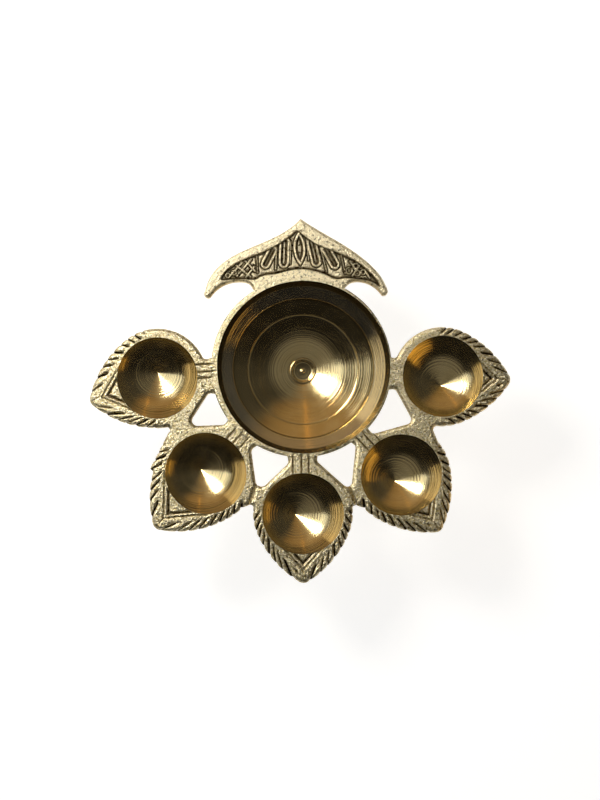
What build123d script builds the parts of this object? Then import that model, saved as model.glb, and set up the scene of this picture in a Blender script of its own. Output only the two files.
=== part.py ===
from build123d import *
import os
from math import asin, cos, degrees, radians, sin, tan

# A five-light aarti lamp in brass. A turned oil bowl stands on a bolted foot, and five leaf lamps
# and a crescent thumb grip are brazed to its rim. Millimetres, +Z up, front leaf towards -Y.
# The parts are drawn about the bolt, then set on the middle of the lamp's footprint.

# Cast plate: bowl rim, leaves and crest share one flat top
PLATE_THICKNESS = 4.0
CORNER_RADIUS = 1.5         # inner corners of the open work
CORNER_SHARE = 0.45         # most of a short edge that one corner may take
SMOOTH_TURN = 20.0          # degrees, a smaller turn is no corner

# Oil bowl, cast, then turned inside
BOWL_RIM_RADIUS = 30.7      # turned edge at the top
BOWL_RIM_WALL = 1.4         # mean width of the cast rim around that edge
BOWL_RUNOUT = 0.8           # the casting's centre lies this far to the left of the turned bowl
BOWL_BAND_WIDTH = 1.8       # steep band below the edge
BOWL_BAND_DEPTH = 2.8
BOWL_SHOULDER_WIDTH = 3.8   # wall from the band down to the floor
BOWL_SHOULDER_DEPTH = 3.7
BOWL_STEP = 0.3             # turned step round the floor
BOWL_FLOOR_SLOPE = 27.0     # degrees, the floor is a cone
BOWL_WALL = 2.2
BOWL_SEAT_THICKNESS = 2.5   # metal under the bolt's head
BOWL_BOSS_RADIUS = 12.5     # boss that stands on the foot

# Bolt, washer and nut
BOLT_RADIUS = 3.0
BOLT_CLEARANCE = 0.15       # round the shank, in bowl and foot
BOLT_HEAD_OVERHANG = 1.7    # head past the shank
BOLT_HEAD_THICKNESS = 1.6
BOLT_HEAD_CLEARANCE = 0.15
BOLT_HEAD_DISH = 0.5        # turned ring round the pip
BOLT_PIP_RADIUS = 1.3
BOLT_DISH_WALL = 1.1        # width of the head's outer edge
BOLT_PROUD = 1.5            # thread past the nut
WASHER_WIDTH = 2.85         # from its hole to its edge
WASHER_THICKNESS = 1.0
NUT_WALL = 2.0              # from the thread to a flat
NUT_THICKNESS = 5.0
NUT_ROOM = 1.2              # round the washer, inside the foot
THREAD_CLEARANCE = 0.05     # nut on bolt

# Foot, turned and hollow below
FOOT_HEIGHT = 23.0
FOOT_BASE_RADIUS = 28.0
FOOT_EDGE_HEIGHT = 2.6      # upright edge of the base
FOOT_LEDGE = 2.0            # flat step inside that edge
FOOT_SKIRT_RISE = 2.0       # slope of the base, from the ledge to the neck
FOOT_SKIRT_ROUND = 7.0
FOOT_BEAD_RADIUS = 1.6
FOOT_FLANGE_HEIGHT = 2.4    # top flange under the bowl's boss
FOOT_WALL = 2.6
FOOT_CEILING = 3.0

# Turned cups of the leaves
CUP_RADIUS = 14.2
CUP_TILT = 6.5              # degrees, the cutter leaned round the circle of leaves
CUP_RIM_SLOPE = 45.0        # degrees, wall at the edge
CUP_RIM_DEPTH = 0.7         # straight part of the wall
CUP_KNEE_SLOPE = 30.0       # degrees, foot of the wall
CUP_WALL_WIDTH = 6.2        # plan width of the wall, from the edge to the cone
CUP_CONE_SLOPE = 26.0       # degrees
CUP_BOTTOM = 2.0            # metal under the cup
CUP_SHELL = 1.0             # the round shell's edge past the cup's edge

# Leaves
LEAF_BAND = 3.5             # cast border beside the cup
LEAF_FLANK_RADIUS = 36.0    # long curves that run to the tip
LEAF_TIP_RADIUS = 3.0
LEAF_GAP = 1.7              # from the bowl's rim to the round of a leaf
LEAF_FRONT_ANGLE = 270.6    # degrees, the middle leaf
WEB_GAP = 2.5               # between the rounds of two leaves
WEB_WIDTH = 6.0
BRIDGE_WIDTH = 11.0
FREE_SIDE = 70.0            # degrees, room on the open side of an end leaf
# Set by hand on the pattern: name, lean of the tip in degrees, step outwards, length of the tip,
# turn round the bowl in degrees
LEAVES = (
    ("leaf_left", 15.0, -0.2, 8.0, 0.3),
    ("leaf_front_left", -1.0, -0.7, 9.0, 0.8),
    ("leaf_front", -0.1, 0.6, 7.2, 0.0),
    ("leaf_front_right", -8.0, 0.7, 6.8, -1.1),
    ("leaf_right", 1.0, -1.1, 6.9, -0.7),
)
# Windows between two leaves, filed by hand: radius of the corners, turn of the two inner corners and of
# the outer corner in degrees from half way between the leaves, and step of the outer corner from the rim
WINDOWS = (
    (1.95, -7.0, 7.1, 0.9, 9.4),
    (2.1, -6.6, 9.1, 1.3, 10.7),
    (1.7, -9.1, 9.8, 0.1, 11.8),
    (1.9, -14.3, 9.0, -0.9, 9.4),
)
WINDOW_BITE = 0.15          # the inner corners run this far over the rim's edge

# Crest: points across and up from the top of the bowl's rim
CREST_APEX = (-0.3, 21.1)
CREST_LEFT_SHOULDER = [(-11.1, 13.7), (-21.1, 9.3), (-29.0, 4.3)]
CREST_LEFT_TIP = [(-34.3, -5.0), (-34.0, -7.2), (-32.3, -7.0)]
CREST_LEFT_INSIDE = [(-28.4, -3.2), (-23.5, -1.6), (-18.6, -2.3)]
CREST_LEFT_ROOT = (-16.6, -5.5)
CREST_RIGHT_SHOULDER = [(11.8, 13.7), (24.0, 5.2), (28.4, 0.3)]
CREST_RIGHT_TIP = [(30.6, -4.2), (30.3, -6.1), (28.6, -6.0)]
CREST_RIGHT_INSIDE = [(26.0, -3.3), (22.0, -1.5), (17.4, -1.9)]
CREST_RIGHT_ROOT = (14.8, -5.0)
CREST_ROOT_DEPTH = 4.0      # how far the drawn outline runs under the rim
PANEL_DEPTH = 0.9
PANEL_TOP = (-0.6, 15.9)
PANEL_LEFT = [(-10.8, 11.2), (-21.4, 6.3), (-28.6, -0.4)]
PANEL_FLOOR = [(-17.6, -0.8), (-0.6, 2.6), (13.6, -0.6)]
PANEL_RIGHT = [(26.2, -1.4), (21.8, 3.4), (11.5, 9.4)]
PETAL_HEIGHT = 0.7
# Lotus petals: middle across and up, lean in degrees, half length, half width
PETALS = (
    (-0.9, 9.4, 0.0, 5.6, 1.9),
    (-6.2, 7.4, -12.0, 4.0, 1.6),
    (4.4, 7.6, 14.0, 4.0, 1.6),
    (-11.6, 5.4, -30.0, 3.6, 1.4),
    (10.0, 5.2, 34.0, 3.6, 1.4),
)

# Worked out from the sizes above
rim_outer_radius = BOWL_RIM_RADIUS + BOWL_RIM_WALL
floor_radius = BOWL_RIM_RADIUS - BOWL_BAND_WIDTH - BOWL_SHOULDER_WIDTH
floor_edge_depth = BOWL_BAND_DEPTH + BOWL_SHOULDER_DEPTH + BOWL_STEP
floor_rise = tan(radians(BOWL_FLOOR_SLOPE))
bolt_head_radius = BOLT_RADIUS + BOLT_HEAD_OVERHANG
head_seat_radius = bolt_head_radius + BOLT_HEAD_CLEARANCE
head_top_depth = floor_edge_depth + (floor_radius - head_seat_radius) * floor_rise
head_seat_depth = head_top_depth + BOLT_HEAD_THICKNESS
bowl_height = head_seat_depth + BOWL_SEAT_THICKNESS
bolt_hole_radius = BOLT_RADIUS + BOLT_CLEARANCE
washer_radius = bolt_hole_radius + WASHER_WIDTH
nut_room_radius = washer_radius + NUT_ROOM
foot_neck_radius = nut_room_radius + FOOT_WALL
top_height = FOOT_HEIGHT + bowl_height
plate_bottom = top_height - PLATE_THICKNESS

leaf_radius = CUP_RADIUS + LEAF_BAND
leaf_distance = rim_outer_radius + LEAF_GAP + leaf_radius
leaf_step = degrees(2 * asin((leaf_radius + WEB_GAP / 2) / leaf_distance))
cast_centre = Pos(-BOWL_RUNOUT, 0)

# Corners of half the cup's section, in radius and height below its edge
cup_wall_run = Vector(cos(radians(CUP_RIM_SLOPE)), sin(radians(CUP_RIM_SLOPE)))
cup_knee = Vector(CUP_RADIUS, 0) - cup_wall_run * (CUP_RIM_DEPTH / cup_wall_run.Y)
cup_cone_radius = CUP_RADIUS - CUP_WALL_WIDTH
cup_knee_drop = (cup_knee.X - cup_cone_radius) * tan(radians(CUP_RIM_SLOPE + CUP_KNEE_SLOPE) / 2)
cup_cone_edge = Vector(cup_cone_radius, cup_knee.Y - cup_knee_drop)
cup_depth = cup_cone_radius * tan(radians(CUP_CONE_SLOPE)) - cup_cone_edge.Y

UNDER = (Align.CENTER, Align.CENTER, Align.MAX)
OVER = (Align.CENTER, Align.CENTER, Align.MIN)


def unit(angle):
    """Direction in plan at an angle in degrees."""
    return Vector(cos(radians(angle)), sin(radians(angle)))


def find_corners(face):
    """Each corner of a plan, with the radius that the shorter edge beside it has room for."""
    found = []
    for wire in [face.outer_wire()] + list(face.inner_wires()):
        edges = wire.order_edges()
        for before, after in zip(edges, edges[1:] + edges[:1]):
            turn = before.tangent_at(1).get_angle(after.tangent_at(0))
            if turn > SMOOTH_TURN:
                room = CORNER_SHARE * min(before.length, after.length) / tan(radians(turn) / 2)
                found.append((after.position_at(0), min(CORNER_RADIUS, room)))
    return found


def round_corners(plan):
    """Round every inner corner of a plan."""
    face = plan.face()
    for place, radius in find_corners(face):
        face = face.fillet_2d(radius, [face.vertices().sort_by_distance(place)[0]])
    return Sketch() + face


def leaf_angle(place):
    return LEAF_FRONT_ANGLE + (place - 2) * leaf_step + LEAVES[place][4]


def gap_angle(place):
    """Angle half way between a leaf and the next one."""
    return (leaf_angle(place) + leaf_angle(place + 1)) / 2


def leaf_centre(place):
    """Middle of a leaf's cup in plan."""
    out = LEAVES[place][2]
    return Vector(-BOWL_RUNOUT, 0) + unit(leaf_angle(place)) * (leaf_distance + out)


def leaf_outline(tip_length):
    """Round body with two long flank arcs that meet in a rounded tip on +X."""
    reach = leaf_radius + tip_length
    spread = LEAF_FLANK_RADIUS - leaf_radius
    rise = asin((LEAF_FLANK_RADIUS**2 - reach**2 - spread**2) / (2 * reach * spread))
    touch = Vector(leaf_radius * sin(rise), leaf_radius * cos(rise))
    centre = Vector(-spread * sin(rise), -spread * cos(rise))
    tip = Vector(reach, 0)
    middle = centre + (touch + tip - centre * 2).normalized() * LEAF_FLANK_RADIUS
    far_touch = Vector(touch.X, -touch.Y)
    far_middle = Vector(middle.X, -middle.Y)
    edges = ThreePointArc(touch, middle, tip)
    edges += ThreePointArc(tip, far_middle, far_touch)
    edges += ThreePointArc(far_touch, (-leaf_radius, 0), touch)
    face = make_face(edges)
    return fillet(face.vertices().sort_by(Axis.X)[-1], LEAF_TIP_RADIUS)


def window(place):
    """Rounded triangle between two leaves, with one side just over the edge of the rim."""
    radius, first, last, outer, step = WINDOWS[place]
    inner_reach = rim_outer_radius + radius - WINDOW_BITE
    middle = gap_angle(place)
    corners = [unit(middle + turn) * inner_reach for turn in (first, last)]
    corners.append(unit(middle + outer) * (rim_outer_radius + step))
    return cast_centre * offset(make_face(Polyline(*corners, close=True)), radius)


def plate_plan():
    """Plan of rim disc, leaves, bridges and webs, with rounded inner corners and four windows."""
    plan = cast_centre * Circle(rim_outer_radius)
    for place, (_, lean, out, tip_length, _) in enumerate(LEAVES):
        centre = leaf_centre(place)
        angle = leaf_angle(place)
        plan += Pos(centre.X, centre.Y) * Rot(0, 0, angle + lean) * leaf_outline(tip_length)
        length = leaf_distance + out
        plan += cast_centre * Rot(0, 0, angle) * Pos(length / 2, 0) * Rectangle(length, BRIDGE_WIDTH)
    for place in range(len(LEAVES) - 1):
        first = leaf_centre(place)
        second = leaf_centre(place + 1)
        span = second - first
        middle = (first + second) * 0.5
        turn = Vector(1, 0).get_signed_angle(span)
        plan += Pos(middle.X, middle.Y) * Rot(0, 0, turn) * Rectangle(span.length, WEB_WIDTH)
    centres = [leaf_centre(place) for place in range(len(LEAVES))]
    plan += make_face(Polyline(Vector(-BOWL_RUNOUT, 0), *centres, close=True))
    plan = round_corners(plan)
    for place in range(len(WINDOWS)):
        plan -= window(place)
    return plan


def sector(place):
    """Wedge of the plate that belongs to a leaf, split half way to its neighbours."""
    reach = 2 * (leaf_distance + leaf_radius)
    first = gap_angle(place - 1) if place > 0 else leaf_angle(place) - FREE_SIDE
    last = gap_angle(place) if place < len(LEAVES) - 1 else leaf_angle(place) + FREE_SIDE
    corners = [Vector(0, 0)] + [unit(angle) * reach for angle in (first, (first + last) / 2, last)]
    return cast_centre * make_face(Polyline(*corners, close=True))


def cup_hollow():
    """Cutter of a cup: a cone, a curved wall and a straight run out past the edge."""
    apex = (0, -cup_depth)
    mouth = cup_knee + cup_wall_run * ((CUP_RIM_DEPTH + PLATE_THICKNESS) / cup_wall_run.Y)
    edges = Line(apex, cup_cone_edge)
    edges += TangentArc(cup_knee, cup_cone_edge, tangent=cup_wall_run * -1)
    edges += Polyline(cup_knee, mouth, (0, mouth.Y), apex)
    return revolve(Plane.XZ * make_face(edges), Axis.Z)


def cup_shell():
    """Round bottom of a leaf, a cap of a sphere below the plate."""
    edge = CUP_RADIUS + CUP_SHELL
    height = cup_depth + CUP_BOTTOM - PLATE_THICKNESS
    radius = (edge**2 + height**2) / (2 * height)
    ball = Pos(0, 0, radius - height) * Sphere(radius)
    return ball & Cylinder(2 * edge, 2 * height, align=UNDER)


def cup_location(place):
    """Leaning axis of a cup, set so that the rim stays centred on the leaf."""
    tilt = radians(CUP_TILT)
    slope = radians(CUP_RIM_SLOPE)
    shift = CUP_RADIUS * sin(tilt) / 2 * (1 / tan(slope - tilt) + 1 / tan(slope + tilt))
    centre = leaf_centre(place)
    base = Pos(centre.X, centre.Y, top_height) * Rot(0, 0, leaf_angle(place))
    return base * Pos(0, -shift, 0) * Rot(-CUP_TILT, 0, 0)


def make_leaf(place, plan):
    """Leaf lamp: its share of the plate, with the shell and the hollow of its cup."""
    share = (plan - cast_centre * Circle(rim_outer_radius)) & sector(place)
    plate = extrude(Pos(0, 0, plate_bottom) * share, PLATE_THICKNESS)
    centre = leaf_centre(place)
    shell = Pos(centre.X, centre.Y, plate_bottom) * cup_shell()
    return plate + shell - cup_location(place) * cup_hollow()


def crest_point(point):
    """Point of the crest's outline in plan."""
    return Vector(point[0] - BOWL_RUNOUT, point[1] + rim_outer_radius)


def crest_points(*groups):
    return [crest_point(point) for group in groups for point in group]


def crest_outline():
    """Crescent with two horns, and a root that runs into the rim."""
    sides = (
        (CREST_LEFT_SHOULDER, CREST_LEFT_TIP, CREST_LEFT_INSIDE, CREST_LEFT_ROOT),
        (CREST_RIGHT_SHOULDER, CREST_RIGHT_TIP, CREST_RIGHT_INSIDE, CREST_RIGHT_ROOT),
    )
    edges = Curve()
    feet = []
    for shoulder, tip, inside, root in sides:
        edges += Spline(*crest_points([CREST_APEX], shoulder, tip[:1]))
        edges += ThreePointArc(*crest_points(tip))
        edges += Spline(*crest_points(tip[-1:], inside, [root]))
        foot = (root[0], root[1] - CREST_ROOT_DEPTH)
        edges += Line(*crest_points([root, foot]))
        feet.append(foot)
    edges += Line(*crest_points(feet))
    rim = cast_centre * Circle(rim_outer_radius)
    return make_face(edges) - rim


def make_crest():
    """Thumb grip with a sunk panel and a fan of lotus petals."""
    body = extrude(Pos(0, 0, plate_bottom) * crest_outline(), PLATE_THICKNESS)
    edges = Spline(*crest_points([PANEL_TOP], PANEL_LEFT))
    edges += Spline(*crest_points(PANEL_LEFT[-1:], PANEL_FLOOR, PANEL_RIGHT[:1]))
    edges += Spline(*crest_points(PANEL_RIGHT, [PANEL_TOP]))
    panel_height = top_height - PANEL_DEPTH
    body -= extrude(Pos(0, 0, panel_height) * make_face(edges), PANEL_DEPTH)
    for across, up, lean, length, width in PETALS:
        arcs = ThreePointArc((0, -length), (width, 0), (0, length))
        arcs += ThreePointArc((0, length), (-width, 0), (0, -length))
        middle = crest_point((across, up))
        place = Pos(middle.X, middle.Y, panel_height) * Rot(0, 0, lean)
        body += place * extrude(make_face(arcs), PETAL_HEIGHT)
    return body


def make_bowl():
    """Oil bowl: cast rim and shell, turned inside, with a seat for the bolt's head."""
    band_radius = BOWL_RIM_RADIUS - BOWL_BAND_WIDTH
    band_depth = -BOWL_BAND_DEPTH
    inside = Polyline(
        (0, 0),
        (BOWL_RIM_RADIUS, 0),
        (band_radius, band_depth),
        (floor_radius, band_depth - BOWL_SHOULDER_DEPTH),
        (floor_radius, -floor_edge_depth),
        (head_seat_radius, -head_top_depth),
        (head_seat_radius, -head_seat_depth),
        (bolt_hole_radius, -head_seat_depth),
        (bolt_hole_radius, -bowl_height),
        (0, -bowl_height),
        close=True,
    )
    floor_wall = BOWL_WALL / cos(radians(BOWL_FLOOR_SLOPE))
    shell_edge = floor_radius + BOWL_WALL
    boss_top = floor_edge_depth + floor_wall + (shell_edge - BOWL_BOSS_RADIUS) * floor_rise
    outside = Polyline(
        (0, -BOWL_BAND_DEPTH),
        (band_radius, -BOWL_BAND_DEPTH),
        (band_radius + BOWL_WALL, -PLATE_THICKNESS),
        (shell_edge, -floor_edge_depth - floor_wall),
        (BOWL_BOSS_RADIUS, -boss_top),
        (BOWL_BOSS_RADIUS, -bowl_height),
        (0, -bowl_height),
        close=True,
    )
    top = Pos(0, 0, top_height)
    rim = Pos(0, 0, plate_bottom) * cast_centre * extrude(Circle(rim_outer_radius), PLATE_THICKNESS)
    shell = top * revolve(Plane.XZ * make_face(outside), Axis.Z)
    return rim + shell - top * revolve(Plane.XZ * make_face(inside), Axis.Z)


def make_foot():
    """Turned foot: flange, bead and neck over a flared, hollow base."""
    ledge_radius = FOOT_BASE_RADIUS - FOOT_LEDGE
    skirt_height = FOOT_EDGE_HEIGHT + FOOT_SKIRT_RISE
    flange_bottom = FOOT_HEIGHT - FOOT_FLANGE_HEIGHT
    skirt = [(foot_neck_radius, flange_bottom), (foot_neck_radius, skirt_height),
             (ledge_radius, FOOT_EDGE_HEIGHT)]
    edges = FilletPolyline(*skirt, radius=FOOT_SKIRT_ROUND)
    edges += Polyline(skirt[-1], (FOOT_BASE_RADIUS, FOOT_EDGE_HEIGHT), (FOOT_BASE_RADIUS, 0), (0, 0))
    edges += Polyline((0, 0), (0, FOOT_HEIGHT), (BOWL_BOSS_RADIUS, FOOT_HEIGHT),
                      (BOWL_BOSS_RADIUS, flange_bottom), skirt[0])
    body = revolve(Plane.XZ * make_face(edges), Axis.Z)
    bead_height = flange_bottom - 2 * FOOT_BEAD_RADIUS
    bead = Plane.XZ * Pos(foot_neck_radius, bead_height) * Circle(FOOT_BEAD_RADIUS)
    body += revolve(bead, Axis.Z)
    ceiling = FOOT_HEIGHT - FOOT_CEILING
    hollow = [(nut_room_radius, ceiling), (nut_room_radius, skirt_height - FOOT_WALL),
              (ledge_radius - FOOT_WALL, 0)]
    edges = FilletPolyline(*hollow, radius=FOOT_SKIRT_ROUND + FOOT_WALL)
    edges += Polyline(hollow[-1], (0, 0), (0, ceiling), hollow[0])
    body -= revolve(Plane.XZ * make_face(edges), Axis.Z)
    return body - Pos(0, 0, ceiling) * Cylinder(bolt_hole_radius, FOOT_CEILING, align=OVER)


def make_bolt():
    """Round-headed bolt with a dished ring round a small pip."""
    seat = top_height - head_seat_depth
    grip = BOWL_SEAT_THICKNESS + FOOT_CEILING + WASHER_THICKNESS
    length = grip + NUT_THICKNESS + BOLT_PROUD
    head = Pos(0, 0, seat) * Cylinder(bolt_head_radius, BOLT_HEAD_THICKNESS, align=OVER)
    ring = Circle(bolt_head_radius - BOLT_DISH_WALL) - Circle(BOLT_PIP_RADIUS)
    dish_bottom = seat + BOLT_HEAD_THICKNESS - BOLT_HEAD_DISH
    head -= extrude(Pos(0, 0, dish_bottom) * ring, BOLT_HEAD_DISH)
    return head + Pos(0, 0, seat) * Cylinder(BOLT_RADIUS, length, align=UNDER)


def make_washer():
    bottom = FOOT_HEIGHT - FOOT_CEILING - WASHER_THICKNESS
    ring = Circle(washer_radius) - Circle(bolt_hole_radius)
    return extrude(Pos(0, 0, bottom) * ring, WASHER_THICKNESS)


def make_nut():
    bottom = FOOT_HEIGHT - FOOT_CEILING - WASHER_THICKNESS - NUT_THICKNESS
    hexagon = RegularPolygon(BOLT_RADIUS + NUT_WALL, 6, major_radius=False)
    bore = Circle(BOLT_RADIUS + THREAD_CLEARANCE)
    return extrude(Pos(0, 0, bottom) * (hexagon - bore), NUT_THICKNESS)


plan = plate_plan()
pieces = {
    "oil_bowl": make_bowl(),
    "crest": make_crest(),
    "foot": make_foot(),
    "centre_bolt": make_bolt(),
    "washer": make_washer(),
    "nut": make_nut(),
}
for place, leaf in enumerate(LEAVES):
    pieces[leaf[0]] = make_leaf(place, plan)

# The origin is the middle of the footprint, on the table
boxes = [piece.bounding_box() for piece in pieces.values()]
middle_x = (min(box.min.X for box in boxes) + max(box.max.X for box in boxes)) / 2
middle_y = (min(box.min.Y for box in boxes) + max(box.max.Y for box in boxes)) / 2
footprint = Pos(-middle_x, -middle_y, 0)

os.makedirs("parts", exist_ok=True)
for name, piece in pieces.items():
    export_step(footprint * piece, f"parts/{name}.step")
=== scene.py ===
import bmesh
import bpy
import numpy as np
from mathutils import Matrix, Vector


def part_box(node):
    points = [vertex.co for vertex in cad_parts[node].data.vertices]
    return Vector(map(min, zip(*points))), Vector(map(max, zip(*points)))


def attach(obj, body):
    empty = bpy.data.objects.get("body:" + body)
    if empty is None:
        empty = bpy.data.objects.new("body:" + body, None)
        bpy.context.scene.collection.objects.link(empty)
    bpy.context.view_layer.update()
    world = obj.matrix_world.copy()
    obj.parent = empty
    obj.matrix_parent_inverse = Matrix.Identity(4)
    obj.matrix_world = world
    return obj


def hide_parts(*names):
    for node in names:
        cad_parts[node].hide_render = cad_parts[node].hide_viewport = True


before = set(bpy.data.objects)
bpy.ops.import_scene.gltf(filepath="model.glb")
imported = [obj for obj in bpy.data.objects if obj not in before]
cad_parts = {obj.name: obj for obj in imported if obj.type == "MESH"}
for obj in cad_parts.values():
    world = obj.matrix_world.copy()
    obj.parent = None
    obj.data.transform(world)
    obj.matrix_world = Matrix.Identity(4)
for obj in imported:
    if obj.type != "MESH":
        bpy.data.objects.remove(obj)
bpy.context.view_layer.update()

# Foot: a flared stand turned from a brass casting, hollow below so that the nut can be reached.
# It has an upright base edge with a ledge, a swept neck, a half-round bead and a top flange,
# and the bowl's boss stands on that flange.

MM = 0.001
FOOT_HEIGHT = 23.0
FOOT_BASE = 28.0
FOOT_EDGE = 2.6
FOOT_LEDGE = 26.0
FOOT_RING = 23.4
FOOT_HOLLOW = 2.0
FOOT_SWEEP = 4.6
FOOT_NECK = 9.8
FOOT_FLANGE = 12.5
FOOT_FLANGE_BOTTOM = 20.6
FOOT_BEAD = 1.6
FOOT_BEAD_HEIGHT = 17.4
FOOT_CEILING = 20.0
FOOT_COLUMNS = 288
NUT_ROOM = 7.2
BOLT_HOLE = 3.15
SPACING = 0.6
TURN_UNIT = np.radians(9)
SHARP_EDGE = np.radians(38)
WELD = 0.0005

low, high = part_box("centre_bolt")
axis = np.array((low + high) / 2)[:2]


def linear(shade):
    """Linear colour of an sRGB hex value, by the standard curve."""
    value = np.array([int(shade[place:place + 2], 16) for place in (1, 3, 5)]) / 255
    curve = np.where(value > 0.04045, ((value + 0.055) / 1.055) ** 2.4, value / 12.92)
    return (*(float(part) for part in curve), 1.0)


def add(tree, kind, inputs=None, **settings):
    """One shader node: its settings, then a constant or a link for each named socket."""
    made = tree.nodes.new(kind)
    for name, value in settings.items():
        setattr(made, name, value)
    for name, value in (inputs or {}).items():
        if isinstance(value, bpy.types.NodeSocket):
            tree.links.new(value, made.inputs[name])
        else:
            made.inputs[name].default_value = value
    return made


def section(corners, easing, spacing):
    """Closed section in radius and height: each corner becomes a quadratic curve between two points
    set back from it by its easing. The whole is divided so that each step has the same sum of its
    length, in spacings, and its turn, in units of 9 degrees."""
    corners = np.array(corners, float)
    easing = np.broadcast_to(np.array(easing, float), len(corners))[:, None]
    towards = np.roll(corners, -1, 0) - corners
    towards /= np.linalg.norm(towards, axis=1, keepdims=True)
    start = corners - np.roll(towards, 1, 0) * easing
    end = corners + towards * easing
    share = np.linspace(0, 1, 17)[None, :, None]
    curve = (1 - share) ** 2 * start[:, None] + 2 * share * (1 - share) * corners[:, None]
    curve = (curve + share**2 * end[:, None]).reshape(-1, 2)
    curve = np.vstack([curve, curve[:1]])
    curve = curve[np.linalg.norm(np.diff(curve, axis=0, append=curve[1:2] + 1), axis=1) > 1e-9]
    run = np.diff(curve, axis=0)
    length = np.linalg.norm(run, axis=1)
    heading = np.unwrap(np.arctan2(run[:, 1], run[:, 0]))
    turned = np.abs(np.diff(heading, prepend=heading[:1])) / TURN_UNIT
    measure = np.concatenate([[0], np.cumsum(length / spacing + turned)])
    length = np.concatenate([[0], np.cumsum(length)])
    place = np.linspace(0, measure[-1], int(measure[-1]), endpoint=False)
    even = np.stack([np.interp(place, measure, curve[:, part]) for part in (0, 1)], 1)
    return even, np.interp(place, measure, length)


def turn(profile, columns, middle):
    """Surface of revolution: each point of the section goes round the upright axis at middle."""
    angle = np.linspace(0, 2 * np.pi, columns, endpoint=False)[:, None]
    across = middle[0] + profile[:, 0] * MM * np.cos(angle)
    along = middle[1] + profile[:, 0] * MM * np.sin(angle)
    return np.stack([across, along, np.broadcast_to(profile[:, 1] * MM, across.shape)], -1)


def skin(name, points, finishes, rows=0, marks=None, wrap=True, ring=True):
    """Mesh over a grid of points, columns first. Columns close round the piece, and rows close round a
    ring-shaped section. Points in the same place, as at a pole, are welded. Faces are turned outwards by
    the sign of the volume. rows gives each row's finish, and marks are values kept with the points."""
    index = np.arange(points.shape[0] * points.shape[1]).reshape(points.shape[:2])
    beside = np.roll(index, -1, 0)
    faces = np.stack([index, beside, np.roll(beside, -1, 1), np.roll(index, -1, 1)], -1)
    finish = np.broadcast_to(rows, points.shape[:2])
    if not wrap:
        faces, finish = faces[:-1], finish[:-1]
    if not ring:
        faces, finish = faces[:, :-1], finish[:, :-1]
    faces = faces.reshape(-1, 4)
    place = points.reshape(-1, 3)
    corner = place[faces] - place.mean(0)
    volume = np.einsum("ij,ij->", corner[:, 0], np.cross(corner[:, 1], corner[:, 2]))
    volume += np.einsum("ij,ij->", corner[:, 0], np.cross(corner[:, 2], corner[:, 3]))
    if volume < 0:
        faces = faces[:, ::-1]
    mesh = bpy.data.meshes.new(name)
    mesh.vertices.add(len(place))
    mesh.vertices.foreach_set("co", place.ravel())
    mesh.loops.add(faces.size)
    mesh.loops.foreach_set("vertex_index", faces.ravel().astype(np.int32))
    mesh.polygons.add(len(faces))
    mesh.polygons.foreach_set("loop_start", np.arange(0, faces.size, 4, dtype=np.int32))
    mesh.polygons.foreach_set("material_index", finish.ravel().astype(np.int32))
    mesh.update(calc_edges=True)
    for mark, value in (marks or {}).items():
        value = np.broadcast_to(value, points.shape[:2])
        mesh.attributes.new(mark, "FLOAT", "POINT").data.foreach_set("value", value.ravel().astype(np.float32))
    work = bmesh.new()
    work.from_mesh(mesh)
    bmesh.ops.remove_doubles(work, verts=work.verts, dist=WELD * MM)
    work.to_mesh(mesh)
    work.free()
    mesh.polygons.foreach_set("use_smooth", np.ones(len(mesh.polygons), bool))
    mesh.set_sharp_from_angle(angle=SHARP_EDGE)
    for finish in finishes:
        mesh.materials.append(finish)
    piece = bpy.data.objects.new(name, mesh)
    bpy.context.scene.collection.objects.link(piece)
    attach(piece, "root")
    return piece


# Lathe-turned brass: bright and golden, with fine rings from the tool that draw highlights out across
# the turning. Real rings are about 0.15 mm apart; here they are 0.6 mm, so that they show. It is painted
# paler on the bowl's shoulder, a painted sheen, and painted nearly black on the steep band under the
# bowl's edge and at the step, a painted shade.
TURNED_RING = 0.6 * MM
TURNED_RING_DEPTH = 0.05 * MM
TURNED_SMEAR = 6 * MM
turned_brass = bpy.data.materials.new("lathe_turned_brass")
turned_brass.use_nodes = True
tree = turned_brass.node_tree
shader = tree.nodes["Principled BSDF"]
path = add(tree, "ShaderNodeAttribute", attribute_name="turning").outputs["Fac"]
rings = add(tree, "ShaderNodeMath", {0: path, 1: TURNED_RING}, operation="DIVIDE")
rings = add(tree, "ShaderNodeTexNoise", {"W": rings.outputs[0], "Scale": 1.0, "Detail": 2.0},
            noise_dimensions="1D")
where = add(tree, "ShaderNodeTexCoord").outputs["Object"]
smear = add(tree, "ShaderNodeTexNoise", {"Vector": where, "Scale": 1 / TURNED_SMEAR, "Detail": 3.0})
colour = add(tree, "ShaderNodeMix", {0: smear.outputs["Fac"], 6: linear("#E8CB8A"), 7: linear("#F2DCA6")},
             data_type="RGBA")
painted_sheen = add(tree, "ShaderNodeAttribute", attribute_name="painted_sheen").outputs["Fac"]
colour = add(tree, "ShaderNodeMix", {0: painted_sheen, 6: colour.outputs[2], 7: linear("#FFF0CC")},
             data_type="RGBA")
painted_shade_and_tarnish = add(tree, "ShaderNodeAttribute", attribute_name="painted_shade_and_tarnish").outputs["Fac"]
colour = add(tree, "ShaderNodeMix", {0: painted_shade_and_tarnish, 6: colour.outputs[2], 7: linear("#241D12")},
             data_type="RGBA")
tree.links.new(colour.outputs[2], shader.inputs["Base Color"])
rough = add(tree, "ShaderNodeMapRange", {"Value": smear.outputs["Fac"], "From Min": 0.3, "From Max": 0.7,
                                         "To Min": 0.13, "To Max": 0.21})
tree.links.new(rough.outputs[0], shader.inputs["Roughness"])
bump = add(tree, "ShaderNodeBump", {"Strength": 1.0, "Distance": TURNED_RING_DEPTH,
                                    "Height": rings.outputs["Fac"]})
tree.links.new(bump.outputs[0], shader.inputs["Normal"])
shader.inputs["Metallic"].default_value = 1.0

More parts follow.
